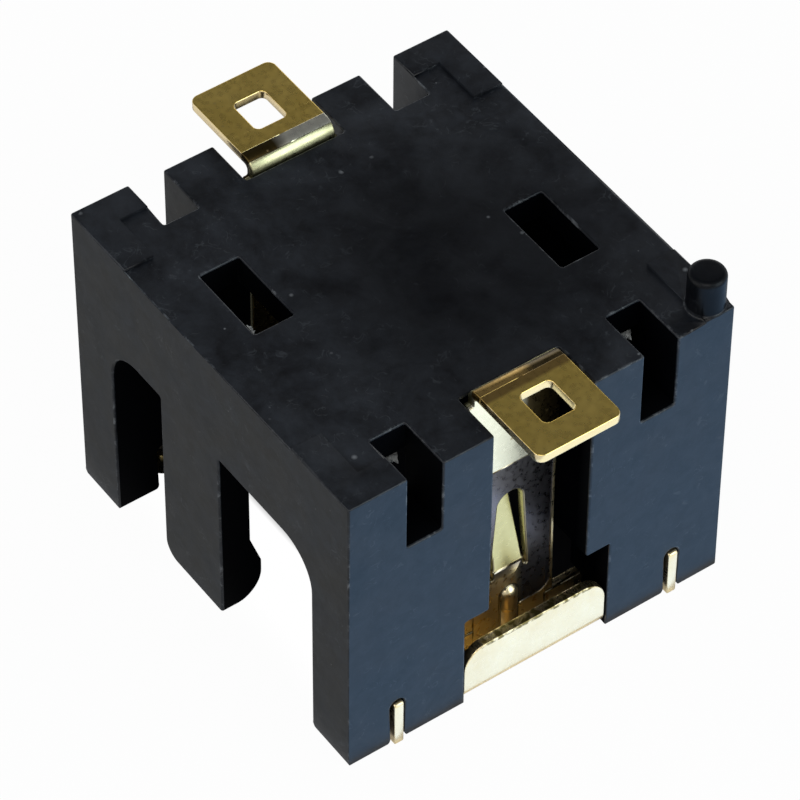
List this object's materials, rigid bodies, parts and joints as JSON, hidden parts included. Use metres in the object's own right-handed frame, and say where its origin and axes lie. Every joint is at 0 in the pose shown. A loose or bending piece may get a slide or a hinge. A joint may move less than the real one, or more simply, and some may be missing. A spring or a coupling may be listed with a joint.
{
  "type": "coin cell holder",
  "caption": "Board-mount holder that grips a short round cell lying on its side between two stamped spring contacts, with snap latches and a locating peg.",
  "frame": {"origin": "middle of the feet, at the open side that the cell is pushed in through", "axes": "+X along the cell towards the contact beside the locating peg, +Y across the holder towards the peg's side, +Z from the feet to the side that lies on the board"},
  "size_m": [0.0186, 0.0144, 0.0135],
  "materials": {
    "housing_plastic": "black glass-filled plastic, satin as moulded",
    "contact_metal": "gold-plated spring sheet, bright with fine rolling marks"
  },
  "bodies": {
    "root": {"housing": "housing_plastic", "positive_contact": "contact_metal", "negative_contact": "contact_metal"}
  },
  "joints": []
}
